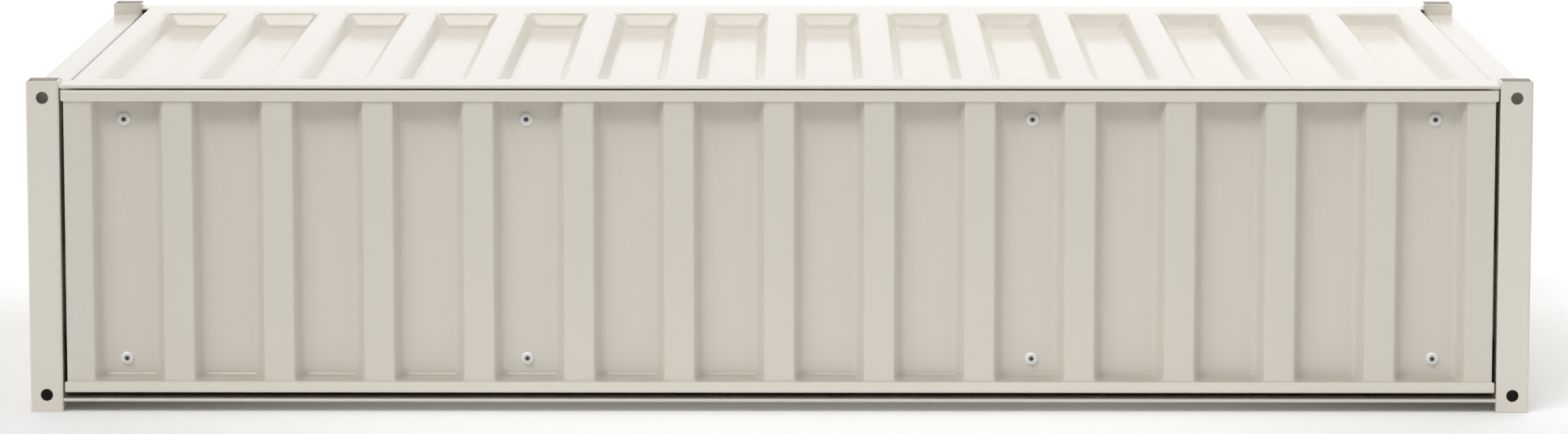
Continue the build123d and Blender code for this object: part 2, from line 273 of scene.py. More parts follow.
# %% Finishing a mesh
SHEET_MM = 1.5
EDGE_MM = 0.3
EDGE_DEG = 60.0
EDGE_STEPS = 2
SMOOTH_DEG = 38.0


def settled(piece):
    """Replace a piece's mesh by what its modifiers make of it."""
    view = bpy.context.evaluated_depsgraph_get()
    done = piece.evaluated_get(view)
    made = bpy.data.meshes.new_from_object(done, preserve_all_data_layers=True, depsgraph=view)
    piece.modifiers.clear()
    piece.data = made
    made.name = piece.name


def finish_mesh(name, bm, thickness_mm=0.0, side=-1.0, edge_mm=EDGE_MM):
    """Turn a bmesh into an object. side -1 thickens a sheet behind its face, 0 both ways."""
    mesh = bpy.data.meshes.new(name)
    bm.to_mesh(mesh)
    bm.free()
    piece = bpy.data.objects.new(name, mesh)
    bpy.context.scene.collection.objects.link(piece)
    if thickness_mm:
        sheet = piece.modifiers.new("sheet", "SOLIDIFY")
        sheet.thickness = thickness_mm * MM
        sheet.offset = side
        sheet.use_even_offset = True
        sheet.use_quality_normals = True
    if edge_mm:
        ease = piece.modifiers.new("edges", "BEVEL")
        ease.width = edge_mm * MM
        ease.segments = EDGE_STEPS
        ease.limit_method = "ANGLE"
        ease.angle_limit = math.radians(EDGE_DEG)
    settled(piece)
    piece.data.shade_smooth()
    piece.data.set_sharp_from_angle(angle=math.radians(SMOOTH_DEG))
    even = piece.modifiers.new("flats", "WEIGHTED_NORMAL")
    even.keep_sharp = True
    settled(piece)
    return piece


print("sheet", SHEET_MM, "mm, raw edges eased by", EDGE_MM, "mm")


# %% [markdown]
# A finished mesh then gets its coat and rides on the body that carries it: the cabinet,
# the drawer or a runner's middle member. Its box is compared with the CAD nodes that it
# stands for, so that a slip in a size shows at once.

# %% Dressing a piece
def dress(piece, material, body, slot, *nodes):
    """Give a piece its finish, its body and the nodes that it stands for; slot is not used."""
    piece.data.materials.clear()
    piece.data.materials.append(material)
    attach(piece, body)
    if nodes:
        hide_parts(*nodes)
        off = 0.0
        for axis in range(3):
            places = [v.co[axis] for v in piece.data.vertices]
            off = max(off, abs(min(places) - min(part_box(n)[0][axis] for n in nodes)))
            off = max(off, abs(max(places) - max(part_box(n)[1][axis] for n in nodes)))
        faces = len(piece.data.polygons)
        print(piece.name, "faces", faces, "off the CAD box by", round(off / MM, 2), "mm")
    return piece


# %% [markdown]
# All the big pieces start as flat sheet, as they do in the workshop. Four small helpers
# stand for its tools: one lays out a flat sheet, one cuts it along a straight line, one
# finds the edges where it is bent, and one rounds them, since steel never folds sharp.

# %% Flat sheet, cuts and bends
BEND_STEPS = 4
STEEP = 0.6


def flat_sheet(x0, x1, y0, y1):
    """One flat face between two corners, in millimetres, facing +Z."""
    bm = bmesh.new()
    bmesh.ops.create_grid(bm, x_segments=1, y_segments=1, size=0.5)
    bmesh.ops.scale(bm, vec=((x1 - x0) * MM, (y1 - y0) * MM, 1), verts=bm.verts)
    bmesh.ops.translate(bm, vec=((x0 + x1) / 2 * MM, (y0 + y1) / 2 * MM, 0), verts=bm.verts)
    return bm


def cut(bm, axis, place_mm):
    """Cut every face by a plane across one axis."""
    point, normal = Vector((0, 0, 0)), Vector((0, 0, 0))
    point[axis] = place_mm * MM
    normal[axis] = 1.0
    geometry = bm.verts[:] + bm.edges[:] + bm.faces[:]
    bmesh.ops.bisect_plane(bm, geom=geometry, plane_co=point, plane_no=normal)


def round_edges(bm, edges, offset_mm, steps=BEND_STEPS):
    """Bevel the given edges round."""
    bmesh.ops.bevel(
        bm, geom=edges, offset=offset_mm * MM, offset_type="OFFSET", segments=steps,
        profile=0.5, affect="EDGES", clamp_overlap=False, material=-1,
    )


def steep_edges(bm):
    """The edges where two faces meet at a clear angle."""
    bm.normal_update()
    return [e for e in bm.edges if len(e.link_faces) == 2 and e.calc_face_angle() > STEEP]


print("a bend is drawn in", BEND_STEPS, "steps")


# %% [markdown]
# The ribbed sheets are stamped: a die pushes flat pockets in, and the metal between
# them stays as ribs. A zigzag profile could be pulled along instead, but the pockets end
# short of the sheet's edges, so the die's own steps are followed. The sheet is cut along
# the mouths of the pockets, each pocket is inset and pushed down, its four corners are
# rounded, and then the bends are bevelled, tight at the mouth and wide at the floor.
# Where a wall faces along the pocket, its points are marked for painted shade.

# %% Pressing pockets
RIB_MM = 24.0
EDGE_RIB_MM = 22.6
WALL_RUN_MM = 6.2
END_RUN_MM = 4.2
CORNER_MM = 4.2
BEND_MM = 1.3
FLOOR_BEND_MM = 3.4
END_LEAN = 0.8
TOUCH_MM = 1e-3


def pitch_of(width_mm, count):
    """The pocket spacing that leaves the edge ribs over at both ends."""
    return (width_mm - 2 * EDGE_RIB_MM + RIB_MM) / count


def press(bm, count, pitch, y0, y1, depth,
          run=WALL_RUN_MM, end_run=END_RUN_MM, bend=BEND_MM, pocket_end_shade=1.0):
    """Press a row of pockets along X, between two places on Y; sizes in millimetres."""
    mouth = pitch - RIB_MM
    lefts = [(i - (count - 1) / 2) * pitch - mouth / 2 for i in range(count)]
    for left in lefts:
        cut(bm, 0, left)
        cut(bm, 0, left + mouth)
    cut(bm, 1, y0)
    cut(bm, 1, y1)
    pockets = []
    for face in bm.faces:
        x, y, _ = face.calc_center_median() / MM
        if y0 < y < y1 and any(left < x < left + mouth for left in lefts):
            pockets.append(face)
    bmesh.ops.inset_individual(bm, faces=pockets, thickness=run * MM, use_even_offset=True)
    floor = {vert for face in pockets for vert in face.verts}
    bmesh.ops.translate(bm, vec=(0, 0, -depth * MM), verts=list(floor))
    for sign in (-1, 1):
        ends = [v for v in floor if (v.co.y / MM - (y0 + y1) / 2) * sign > 0]
        bmesh.ops.translate(bm, vec=(0, sign * (run - end_run) * MM, 0), verts=ends)
    corners = [e for v in floor for e in v.link_edges if e.other_vert(v) not in floor]
    round_edges(bm, corners, CORNER_MM)
    for level, width in ((0, bend), (-depth, FLOOR_BEND_MM)):
        loop = [e for e in steep_edges(bm)
                if all(abs(v.co.z / MM - level) < TOUCH_MM for v in e.verts)]
        round_edges(bm, loop, width)
    bm.normal_update()
    # Painted shade on the end walls: the share of darker tone at each point.
    coat = bm.verts.layers.float.new("pocket_end_shade")
    for vert in bm.verts:
        vert[coat] = pocket_end_shade * min(1.0, abs(vert.normal.y) / END_LEAN)


print("ribs", RIB_MM, "mm wide; bends", BEND_MM, "mm at the mouth,", FLOOR_BEND_MM, "mm at the floor")


# %% [markdown]
# A pressed sheet is stiffened by folding its rims. A rim is found by its place, pulled
# out into a flange, and the line between is then bevelled into a bend. Pulling can leave
# some faces the wrong way round, so they are made to agree before the sheet thickens.

# %% Folding a rim
def rim(bm, axis, place_mm, start=-math.inf, stop=math.inf):
    """The sheet's outer edges that lie at one place on an axis."""
    found = []
    for edge in bm.edges:
        there = all(abs(v.co[axis] / MM - place_mm) < TOUCH_MM for v in edge.verts)
        along = sum(v.co[1 - axis] for v in edge.verts) / 2 / MM
        if there and len(edge.link_faces) == 1 and start < along < stop:
            found.append(edge)
    return found


def pull(bm, edges, step_mm):
    """Extrude edges by a step in millimetres, and give the new far edges."""
    made = bmesh.ops.extrude_edge_only(bm, edges=edges)["geom"]
    verts = [g for g in made if isinstance(g, bmesh.types.BMVert)]
    bmesh.ops.translate(bm, vec=Vector(step_mm) * MM, verts=verts)
    return [g for g in made if isinstance(g, bmesh.types.BMEdge) and all(v in verts for v in g.verts)]


def face_up(bm):
    """Make all faces agree, with the sheet's face towards +Z."""
    bmesh.ops.recalc_face_normals(bm, faces=bm.faces)
    if sum(f.normal.z * f.calc_area() for f in bm.faces) < 0:
        bmesh.ops.reverse_faces(bm, faces=bm.faces)


print("rims are found to", TOUCH_MM, "mm")


# %% [markdown]
# The drawer front is the face of the whole thing: fourteen pockets between a top and a
# bottom strip, with its two ends folded back. The pockets run up behind the top strip,
# which hides their ends. The sheet is pressed lying flat and then stood up, so that its
# face looks towards the camera.

# %% Drawer front sheet
LONG_COUNT = 14
SIDE_DEPTH_MM = 13.0
STRIP_MM = 9.0
TUCK_TOP_MM = 5.0
TUCK_LOW_MM = 0.5
STAND_UP = Matrix.Rotation(math.radians(90), 4, "X")

front_low, front_high = box_mm("front_panel")
strip_low = box_mm("front_bottom_strip")[0].z
strip_high = box_mm("front_top_strip")[1].z
long_pitch = pitch_of(front_high.x - front_low.x, LONG_COUNT)
sheet = flat_sheet(front_low.x, front_high.x, front_low.z, front_high.z)
pocket_low = strip_low + STRIP_MM - TUCK_LOW_MM
pocket_high = strip_high - STRIP_MM + TUCK_TOP_MM
press(sheet, LONG_COUNT, long_pitch, pocket_low, pocket_high, SIDE_DEPTH_MM)
for edge_x in (front_low.x, front_high.x):
    bend = rim(sheet, 0, edge_x)
    pull(sheet, bend, (0, 0, front_low.y - front_high.y))
    round_edges(sheet, bend, BEND_MM)
face_up(sheet)
stand = Matrix.Translation((0, front_low.y * MM, 0)) @ STAND_UP
bmesh.ops.transform(sheet, matrix=stand, verts=sheet.verts)
drawer_face = finish_mesh("drawer_face", sheet, SHEET_MM)
dress(drawer_face, outer_coat, "drawer", "outer_paint", "front_panel")


# %% [markdown]
# The back wall and the two end walls are the same kind of sheet, welded in between the
# posts. Each is pressed flat, stood up and turned to its side. One function serves all
# three, because only their width, place and turn differ.

# %% Back wall and end walls
END_COUNT = 7
RAIL_FACE_MM = 10.5
RIB_END_MM = 0.6
rail_foot_top = box_mm("end_bottom_rail_left")[1].z


def wall(name, node, count, pitch, rail_top, turn_deg, face):
    """A pressed wall between two posts, turned to its side of the cabinet."""
    low, high = box_mm(node)
    along = 0 if turn_deg == 180 else 1
    half = (high[along] - low[along]) / 2
    bm = flat_sheet(-half, half, low.z, high.z)
    mouth_low, mouth_high = rail_foot_top + RIB_END_MM, rail_top - RAIL_FACE_MM - RIB_END_MM
    press(bm, count, pitch, mouth_low, mouth_high, SIDE_DEPTH_MM)
    turn = Matrix.Rotation(math.radians(turn_deg), 4, "Z")
    place = Matrix.Translation(Vector(face) * MM) @ turn @ STAND_UP
    bmesh.ops.transform(bm, matrix=place, verts=bm.verts)
    return dress(finish_mesh(name, bm, SHEET_MM), outer_coat, "cabinet", "outer_paint", node)


back_y = box_mm("back_wall")[1].y
end_low, end_high = box_mm("end_wall_right")
end_pitch = pitch_of(end_high.y - end_low.y, END_COUNT)
back_rail_top = box_mm("back_top_rail")[1].z
end_rail_top = box_mm("end_top_rail_right")[1].z
wall("back_sheet", "back_wall", LONG_COUNT, long_pitch, back_rail_top, 180, (0, back_y, 0))
wall("end_sheet_right", "end_wall_right", END_COUNT, end_pitch, end_rail_top, 90, (end_high.x, 0, 0))
wall("end_sheet_left", "end_wall_left", END_COUNT, end_pitch, end_rail_top, -90, (-end_high.x, 0, 0))


# %% [markdown]
# The roof is the largest pressing, with softer slopes and bends than the walls. At the
# front and back it runs out to the posts; between them its sides are cut back and folded
# down, which leaves a narrow slot beside each end rail, wider at the left. The sheet is
# cut and notched while it is flat, as a blank is, so that the fold lines stay straight.
# Its front edge is hemmed: folded flat under itself, so it shows a rounded nose nearly
# three millimetres thick. A hem's two layers are kept a hair apart, so that they don't
# share a face.

# %% Roof sheet
ROOF_DEPTH_MM = 13.5
ROOF_RUN_MM = 8.5
ROOF_END_RUN_MM = 7.0
ROOF_BEND_MM = 3.0
ROOF_FRONT_MM = 47.0
ROOF_BACK_MM = 73.0
ROOF_TAB_MM = 38.0
ROOF_SIDE_MM = 5.0
SEAM_MM = 1.3
TIGHT_MM = 0.7
ROOF_HEM_MM = 2.8
HEM_WIDTH_MM = 12.0
HEM_GAP_MM = 0.05
FOLD_MM = 1.6

roof_low, roof_high = box_mm("roof_panel")
outer_low, outer_high = cad_box[0] / MM, cad_box[1] / MM
tab_front = outer_low.y + ROOF_TAB_MM
tab_back = outer_high.y - ROOF_TAB_MM
fold_left = roof_low.x + ROOF_SIDE_MM + SEAM_MM
fold_right = roof_high.x - ROOF_SIDE_MM + TIGHT_MM
roof = flat_sheet(roof_low.x, roof_high.x, roof_low.y, roof_high.y)
for place in (fold_left, fold_right):
    cut(roof, 0, place)
for place in (tab_front, tab_back):
    cut(roof, 1, place)
spare = []
for face in roof.faces:
    x, y, _ = face.calc_center_median() / MM
    if not fold_left < x < fold_right and tab_front < y < tab_back:
        spare.append(face)
bmesh.ops.delete(roof, geom=spare, context="FACES")
mouth_front, mouth_back = outer_low.y + ROOF_FRONT_MM, outer_high.y - ROOF_BACK_MM
press(roof, LONG_COUNT, long_pitch, mouth_front, mouth_back, ROOF_DEPTH_MM,
      run=ROOF_RUN_MM, end_run=ROOF_END_RUN_MM, bend=ROOF_BEND_MM, pocket_end_shade=0.0)
for place in (fold_left, fold_right):
    bend = rim(roof, 0, place, tab_front, tab_back)
    pull(roof, bend, (0, 0, roof_low.z - roof_high.z))
    round_edges(roof, bend, FOLD_MM)
nose = rim(roof, 1, roof_low.y)
lip = pull(roof, nose, (0, 0, -ROOF_HEM_MM))
pull(roof, lip, (0, HEM_WIDTH_MM, 0))
roof_layer = ROOF_HEM_MM / 2 - HEM_GAP_MM
round_edges(roof, nose + lip, roof_layer)
face_up(roof)
bmesh.ops.translate(roof, vec=(0, 0, roof_high.z * MM), verts=roof.verts)
roof_sheet = finish_mesh("roof_sheet", roof, roof_layer)
dress(roof_sheet, outer_coat, "cabinet", "outer_paint", "roof_panel")


# %% [markdown]
# Rails, strips, channels and the floor are strips of sheet folded along straight lines.
# Blocks with bevelled edges would not keep one thickness round a bend. So one helper
# draws the middle of the sheet as a chain of points across the fold, pulls it out to its
# length and rounds the folds, and the thickness then grows both ways.

# %% Folding a profile
FOLD_STEPS = 3
PULL_AXES = {
    "X": Matrix(((0, 0, 1, 0), (1, 0, 0, 0), (0, 1, 0, 0), (0, 0, 0, 1))),
    "Y": Matrix(((1, 0, 0, 0), (0, 0, 1, 0), (0, 1, 0, 0), (0, 0, 0, 1))),
    "Z": Matrix.Identity(4),
}


def fold(points, start, stop, axis, bend_mm=FOLD_MM):
    """Pull a chain of points along an axis; points are (y, z), (x, z) or (x, y)."""
    bm = bmesh.new()
    verts = [bm.verts.new((u * MM, v * MM, start * MM)) for u, v in points]
    edges = [bm.edges.new(pair) for pair in zip(verts, verts[1:])]
    pull(bm, edges, (0, 0, stop - start))
    round_edges(bm, steep_edges(bm), bend_mm, FOLD_STEPS)
    bmesh.ops.transform(bm, matrix=PULL_AXES[axis], verts=bm.verts)
    return bm


HALF_SHEET_MM = SHEET_MM / 2
print("a folded strip's middle lies", HALF_SHEET_MM, "mm inside its face")


# %% [markdown]
# Two bright strips frame the drawer front at its top and bottom. Each is folded over the
# ribbed sheet's edge and stands a sheet's thickness proud of the ribs. Its tips are
# rounded by a bevel on the corner points, before the sheet gets its thickness.

# %% Front strips
STRIP_BEND_MM = 1.4
TIP_MM = 1.3
TIP_STEPS = 5
STRIPS = (("strip_top", "front_top_strip", 1), ("strip_bottom", "front_bottom_strip", -1))
for name, node, up in STRIPS:
    low, high = box_mm(node)
    edge, tip = (high.z, low.z) if up > 0 else (low.z, high.z)
    face_y = low.y + HALF_SHEET_MM
    leg_z = edge - up * HALF_SHEET_MM
    chain = [(face_y, tip), (face_y, leg_z), (high.y, leg_z)]
    bm = fold(chain, low.x, high.x, "X", STRIP_BEND_MM)
    tips = [v for v in bm.verts if abs(v.co.z / MM - tip) < TOUCH_MM]
    bmesh.ops.bevel(
        bm, geom=tips, offset=TIP_MM * MM, offset_type="OFFSET", segments=TIP_STEPS,
        profile=0.5, affect="VERTICES", material=-1,
    )
    strip = finish_mesh(name, bm, SHEET_MM, 0.0)
    dress(strip, trim_coat_painted_light, "drawer", "outer_paint", node)


# %% [markdown]
# The floor is one flat sheet whose front edge is hemmed like the roof's. At the top of
# each end a rail is folded over the wall like a clip, and the back has a plainer one. All
# of them are straight folds, so each is one chain of points pulled along.

# %% Floor and top rails
HEM_ROUND = 0.98
low, high = box_mm("floor_panel")
half_layer = (high.z - low.z) / 4
nose_y = low.y + half_layer
upper, lower = high.z - half_layer, low.z + half_layer
chain = [(high.y, upper), (nose_y, upper), (nose_y, lower), (low.y + HEM_WIDTH_MM, lower)]
bm = fold(chain, low.x, high.x, "X", half_layer * HEM_ROUND)
floor_sheet = finish_mesh("floor_sheet", bm, 2 * half_layer - HEM_GAP_MM, 0.0)
dress(floor_sheet, outer_coat, "cabinet", "outer_paint", "floor_panel")

for side, sign in (("left", -1), ("right", 1)):
    node = "end_top_rail_" + side
    low, high = box_mm(node)
    outer = sign * (max(abs(low.x), abs(high.x)) - HALF_SHEET_MM)
    inner = sign * (min(abs(low.x), abs(high.x)) + HALF_SHEET_MM)
    top = high.z - HALF_SHEET_MM
    chain = [(outer, high.z - RAIL_FACE_MM), (outer, top), (inner, top), (inner, low.z)]
    rail = finish_mesh("rail_top_" + side, fold(chain, low.y, high.y, "Y"), SHEET_MM, 0.0)
    dress(rail, outer_coat, "cabinet", "outer_paint", node)

low, high = box_mm("back_top_rail")
top, outer = high.z - HALF_SHEET_MM, high.y - HALF_SHEET_MM
chain = [(low.y, top), (outer, top), (outer, low.z)]
rail = finish_mesh("rail_top_back", fold(chain, low.x, high.x, "X"), SHEET_MM, 0.0)
dress(rail, outer_coat, "cabinet", "outer_paint", "back_top_rail")


# %% [markdown]
# A bottom rail is two plates welded in a T: a face on edge and a shelf at floor height.
# No single fold gives a T, so both plates are made and put into one mesh, touching as
# they do along the weld.

# %% Bottom rails
shelf_top = box_mm("floor_panel")[1].z


def plate(low, high):
    """A flat closed plate between two corners in millimetres."""
    bm = bmesh.new()
    bmesh.ops.create_cube(bm, size=MM)
    bmesh.ops.scale(bm, vec=high - low, verts=bm.verts)
    bmesh.ops.translate(bm, vec=(low + high) / 2 * MM, verts=bm.verts)
    return bm


def join(whole, part):
    """Put one bmesh into another."""
    mesh = bpy.data.meshes.new("part")
    part.to_mesh(mesh)
    part.free()
    whole.from_mesh(mesh)
    bpy.data.meshes.remove(mesh)


def foot_rail(name, node, axis, sign):
    """A rail whose face looks along an axis, to one side, with its shelf behind."""
    low, high = box_mm(node)
    face_low, face_high = low.copy(), high.copy()
    shelf_low, shelf_high = low.copy(), high.copy()
    shelf_low.z, shelf_high.z = shelf_top - SHEET_MM, shelf_top
    if sign > 0:
        face_low[axis] = high[axis] - SHEET_MM
        shelf_high[axis] = face_low[axis]
    else:
        face_high[axis] = low[axis] + SHEET_MM
        shelf_low[axis] = face_high[axis]
    bm = plate(face_low, face_high)
    join(bm, plate(shelf_low, shelf_high))
    dress(finish_mesh(name, bm), outer_coat, "cabinet", "outer_paint", node)


foot_rail("rail_foot_left", "end_bottom_rail_left", 0, -1)
foot_rail("rail_foot_right", "end_bottom_rail_right", 0, 1)
foot_rail("rail_foot_back", "back_bottom_rail", 1, 1)


# %% [markdown]
# The drawer box is plain sheet with its top edges hemmed inwards, so that a hand meets
# no raw edge. It hangs behind a flat backing plate, which the ribbed front is screwed to.
# A hem is only two more points in the chain; the bottom and the plate are flat.

# %% Drawer box
BOX_HEM_MM = 10.0
BOX_BEND_MM = 0.74
BOX_LAYER_MM = SHEET_MM - HEM_GAP_MM


def hemmed(place, low_z, high_z, inward, start, stop, axis):
    """A standing sheet with a hem over its top edge, turned to the inner side."""
    top = high_z - HALF_SHEET_MM
    inner = place + inward * SHEET_MM
    chain = [(place, low_z), (place, top), (inner, top), (inner, top - BOX_HEM_MM)]
    return fold(chain, start, stop, axis, BOX_BEND_MM)


for side, sign in (("left", -1), ("right", 1)):
    node = "box_side_" + side
    low, high = box_mm(node)
    bm = hemmed((low.x + high.x) / 2, low.z, high.z, -sign, low.y, high.y, "Y")
    box_side = finish_mesh("drawer_side_" + side, bm, BOX_LAYER_MM, 0.0)
    dress(box_side, inner_coat, "drawer", "inner_paint", node)
low, high = box_mm("box_back")
bm = hemmed((low.y + high.y) / 2, low.z, high.z, -1, low.x, high.x, "X")
box_back = finish_mesh("drawer_back", bm, BOX_LAYER_MM, 0.0)
dress(box_back, inner_coat, "drawer", "inner_paint", "box_back")
for name, node in (("drawer_bottom", "box_bottom"), ("drawer_plate", "front_plate")):
    dress(finish_mesh(name, plate(*box_mm(node))), inner_coat, "drawer", "inner_paint", node)


# %% [markdown]
# Each side of the drawer runs on a full-extension runner: three rolled channels, one
# inside the other. The outer one sits on a carrier plate that is bent round to the posts.
# A channel is a chain of four points, and each rides on its own body, so that they slide
# out of each other.

# %% Runners and carriers
RUNNER_BEND_MM = 1.3


def channel(name, node, body, sign, open_out):
    """A rolled channel along Y; open_out turns its open side to the cabinet's end."""
    low, high = box_mm(node)
    web, tip = (low.x, high.x) if (sign > 0) == open_out else (high.x, low.x)
    web += HALF_SHEET_MM if web < tip else -HALF_SHEET_MM
    chain = [(tip, low.z + HALF_SHEET_MM), (web, low.z + HALF_SHEET_MM),
             (web, high.z - HALF_SHEET_MM), (tip, high.z - HALF_SHEET_MM)]
    bm = fold(chain, low.y, high.y, "Y", RUNNER_BEND_MM)
    dress(finish_mesh(name, bm, SHEET_MM, 0.0), runner_zinc, body, "runner_zinc", node)


for side, sign in (("left", -1), ("right", 1)):
    channel("runner_outer_" + side, "runner_rail_" + side, "cabinet", sign, False)
    channel("runner_middle_" + side, "runner_mid_" + side, "runner_mid_" + side, sign, False)
    channel("runner_inner_" + side, "runner_slide_" + side, "drawer", sign, True)
    node = "runner_carrier_" + side
    low, high = box_mm(node)
    web = sign * (min(abs(low.x), abs(high.x)) + HALF_SHEET_MM)
    tab = sign * max(abs(low.x), abs(high.x))
    front, back = low.y + HALF_SHEET_MM, high.y - HALF_SHEET_MM
    bm = fold([(tab, front), (web, front), (web, back), (tab, back)], low.z, high.z, "Z")
    carrier = finish_mesh("carrier_" + side, bm, SHEET_MM, 0.0)
    dress(carrier, inner_coat, "cabinet", "inner_paint", node)


# %% [markdown]
# Eight button-head screws hold the ribbed front to its backing plate. A domed head is
# turned, so it is drawn as half its section and spun about its middle line. Its hexagon
# socket could be cut out with a boolean, but that leaves long thin faces that spoil the
# shine; so a six-sided ring with as many points as the round ring is bridged to it.

# %% Screw head
SCREW_STEPS = 48
DOME_STEPS = 8
HEAD_R_MM = 5.2
HEAD_RISE_MM = 2.75
HEAD_RIM_MM = 0.3
UNDER_R_MM = 0.2
FLAT_R_MM = 3.4
FLAT_SHADE = 0.30
SOCKET_R_MM = 1.75
SOCKET_DEPTH_MM = 1.6
LEAD_MM = 0.3
LEAD_DROP_MM = 0.15
NEAR_MM = 0.05


def turned(points):
    """Spin a chain of (radius, height) points, in millimetres, round the Z axis."""
    bm = bmesh.new()
    verts = [bm.verts.new((r * MM, 0, h * MM)) for r, h in points]
    edges = [bm.edges.new(pair) for pair in zip(verts, verts[1:])]
    bmesh.ops.spin(
        bm, geom=verts + edges, cent=(0, 0, 0), axis=(0, 0, 1), angle=math.tau,
        steps=SCREW_STEPS, use_merge=True,
    )
    bmesh.ops.remove_doubles(bm, verts=bm.verts, dist=TOUCH_MM * MM)
    return bm


def ring_at(bm, height_mm):
    """The open edges at one height."""
    return [e for e in bm.edges if len(e.link_faces) == 1
            and all(abs(v.co.z / MM - height_mm) < TOUCH_MM for v in e.verts)]


def six_sided(bm, radius_mm, height_mm, cuts):
    """A hexagon of edges whose sides are cut into equal lengths."""
    made = bmesh.ops.create_circle(bm, segments=6, radius=radius_mm * MM)["verts"]
    bmesh.ops.translate(bm, vec=(0, 0, height_mm * MM), verts=made)
    sides = list({e for v in made for e in v.link_edges})
    made = bmesh.ops.subdivide_edges(bm, edges=sides, cuts=cuts)
    return [g for g in made["geom"] if isinstance(g, bmesh.types.BMEdge)]


def screw_head():
    """A domed head standing on Z = 0, with its hexagon socket."""
    arc = [(FLAT_R_MM, HEAD_RISE_MM)]
    for step in range(1, DOME_STEPS + 1):
        turn = math.radians(90 * step / DOME_STEPS)
        radius = FLAT_R_MM + (HEAD_R_MM - FLAT_R_MM) * math.sin(turn)
        arc.append((radius, HEAD_RIM_MM + (HEAD_RISE_MM - HEAD_RIM_MM) * math.cos(turn)))
    mouth = [(SOCKET_R_MM + LEAD_MM, HEAD_RISE_MM)]
    bm = turned(mouth + arc + [(HEAD_R_MM, 0), (UNDER_R_MM, 0)])
    socket = six_sided(bm, SOCKET_R_MM, HEAD_RISE_MM - LEAD_DROP_MM, SCREW_STEPS // 6 - 1)
    bmesh.ops.bridge_loops(bm, edges=ring_at(bm, HEAD_RISE_MM) + socket)
    bottom = pull(bm, socket, (0, 0, -SOCKET_DEPTH_MM))
    bmesh.ops.edgeloop_fill(bm, edges=bottom)
    # deep holds painted shade: a dimmer flat round the socket and a dark socket.
    deep = bm.verts.layers.float.new("deep")
    for vert in bm.verts:
        radius = vert.co.xy.length / MM
        if vert.co.z / MM > HEAD_RIM_MM and radius < FLAT_R_MM + NEAR_MM:
            vert[deep] = 1.0 if radius < SOCKET_R_MM + NEAR_MM else FLAT_SHADE
    return bm


print("screw head", 2 * HEAD_R_MM, "mm across, socket", SOCKET_DEPTH_MM, "mm deep")


# %% [markdown]
# Inside the drawer each screw is closed by a nut: a plain hexagon block, with the turned
# end of the screw standing out of it. No thread is cut, since it would not show; the end
# only starts a little inside the nut, so that no gap is left between them.

# %% Nut
NUT_R_MM = 4.6
NUT_MM = 4.0
NUT_SINK_MM = 0.3
BOLT_R_MM = 2.5
BOLT_TIP_MM = 6.0
TIP_EASE_MM = 0.4


def nut():
    """A hexagon nut on Z = 0 with the screw's end standing out of it."""
    bm = bmesh.new()
    radius = NUT_R_MM * MM
    bmesh.ops.create_cone(
        bm, segments=6, radius1=radius, radius2=radius, depth=NUT_MM * MM, cap_ends=True,
    )
    bmesh.ops.translate(bm, vec=(0, 0, NUT_MM / 2 * MM), verts=bm.verts)
    sunk = NUT_MM - NUT_SINK_MM
    tip = [(0, BOLT_TIP_MM), (BOLT_R_MM - TIP_EASE_MM, BOLT_TIP_MM)]
    shank = [(BOLT_R_MM, BOLT_TIP_MM - TIP_EASE_MM), (BOLT_R_MM, sunk), (0, sunk)]
    join(bm, turned(tip + shank))
    return bm


print("nut", NUT_MM, "mm high, screw end", 2 * BOLT_R_MM, "mm thick")


# %% [markdown]
# The screws stand in the pockets in two rows of four, at places given as shares of the
# pocket spacing. All heads make one piece and all nuts another. Each is turned a little
# differently, as screws are when they come tight.

# %% Screws and nuts in place
SCREW_SHARES = (-6.543, -2.526, 2.526, 6.543)
SCREW_TOP_MM = 15.8
SCREW_LOW_MM = 17.4
TURN_PER_SHARE_DEG = 37.0
TURN_PER_MM_DEG = 0.5
HEAD_EDGE_MM = 0.12
LIE_BACK = Matrix.Rotation(math.radians(-90), 4, "X")


def place_screws(name, make, face_y, turn, edge_mm):
    """One mesh with a copy of a small part at each of the eight screw places."""
    whole = bmesh.new()
    levels = (strip_low + STRIP_MM + SCREW_LOW_MM, strip_high - STRIP_MM - SCREW_TOP_MM)
    for share in SCREW_SHARES:
        for level in levels:
            spot = Vector((share * long_pitch, face_y, level)) * MM
            one = make()
            bmesh.ops.recalc_face_normals(one, faces=one.faces)
            spin_deg = TURN_PER_SHARE_DEG * share + TURN_PER_MM_DEG * level
            spin = Matrix.Rotation(math.radians(spin_deg), 4, "Z")
            place = Matrix.Translation(spot) @ turn @ spin
            bmesh.ops.transform(one, matrix=place, verts=one.verts)
            join(whole, one)
    piece = dress(finish_mesh(name, whole, edge_mm=edge_mm), screw_zinc_painted_shine, "drawer", "runner_zinc")
    print(name, "faces", len(piece.data.polygons))


recess_y = front_low.y + SIDE_DEPTH_MM
plate_y = box_mm("front_plate")[1].y
place_screws("screw_heads", screw_head, recess_y, STAND_UP, HEAD_EDGE_MM)
place_screws("screw_nuts", nut, plate_y, LIE_BACK, EDGE_MM)


# %% [markdown]
# Posts keep their CAD shape: a square tube with round holes, right as it is. They only
# get the coat with painted shade inside.

# %% Posts
posts = [node for name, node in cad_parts.items() if name.startswith("post_")]
for post in posts:
    post.data.materials.clear()
    post.data.materials.append(post_coat_painted_shade)
print("posts coated:", len(posts))


# %% [markdown]
# The piece stands on a floor covered with matt white paper. The paper is given a faint
# glow round the foot of the piece and less under it: a painted pool of light, which keeps
# the shadow under the floor edge soft and grey. Further out it is only lit.

